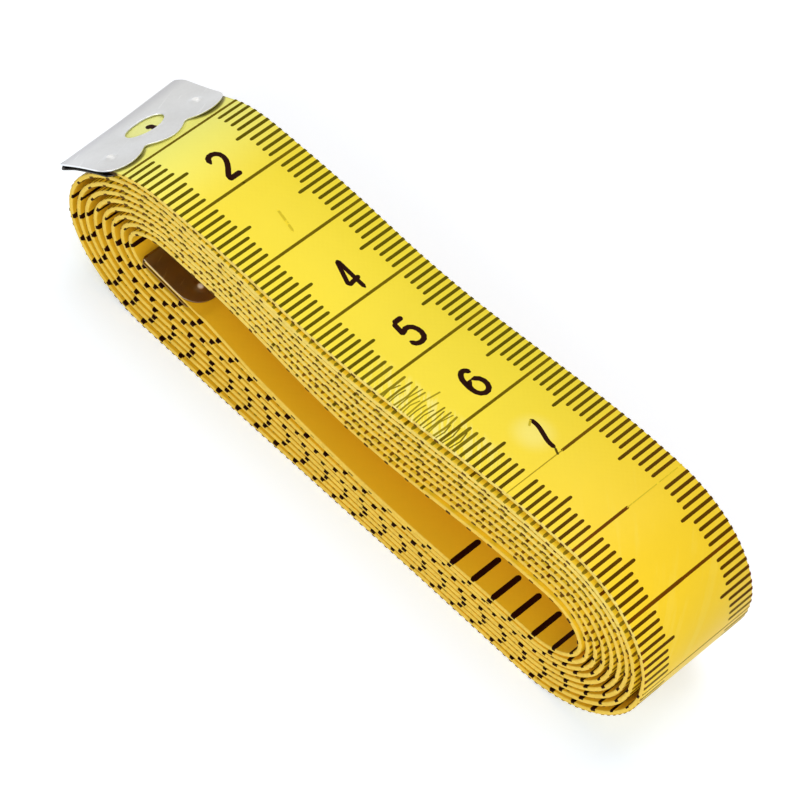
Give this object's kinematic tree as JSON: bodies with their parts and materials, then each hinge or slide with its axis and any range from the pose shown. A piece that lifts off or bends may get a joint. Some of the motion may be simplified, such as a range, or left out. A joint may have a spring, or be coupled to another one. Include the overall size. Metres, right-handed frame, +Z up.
{
  "type": "cloth tape measure",
  "caption": "Yellow cloth tape measure wound into a flat hank, printed with centimetres on one face and inches on the other, with a folded tin clip on each end of the tape.",
  "frame": {"origin": "on the table, under the middle of the wound hank", "axes": "+X along the hank, away from the outer clip; +Y across the tape; +Z up"},
  "size_m": [0.0932, 0.02, 0.0241],
  "materials": {
    "coated_tape": "woven cloth under a smooth yellow coating",
    "tin_clip": "stamped tinplate with light scratches",
    "printed_ink": "dark printed lines and digits"
  },
  "bodies": {
    "hank": {"tape_coil": "coated_tape", "inner_clip": "tin_clip"},
    "free_end": {"tape_free_end": "coated_tape", "outer_clip": "tin_clip"}
  },
  "joints": [
    {"name": "free_end_lift", "type": "hinge", "parent": "hank", "child": "free_end", "pos_m": [-0.0278, 0, 0.02199], "axis": [0, 1, 0], "range_deg": [0, 60]}
  ]
}
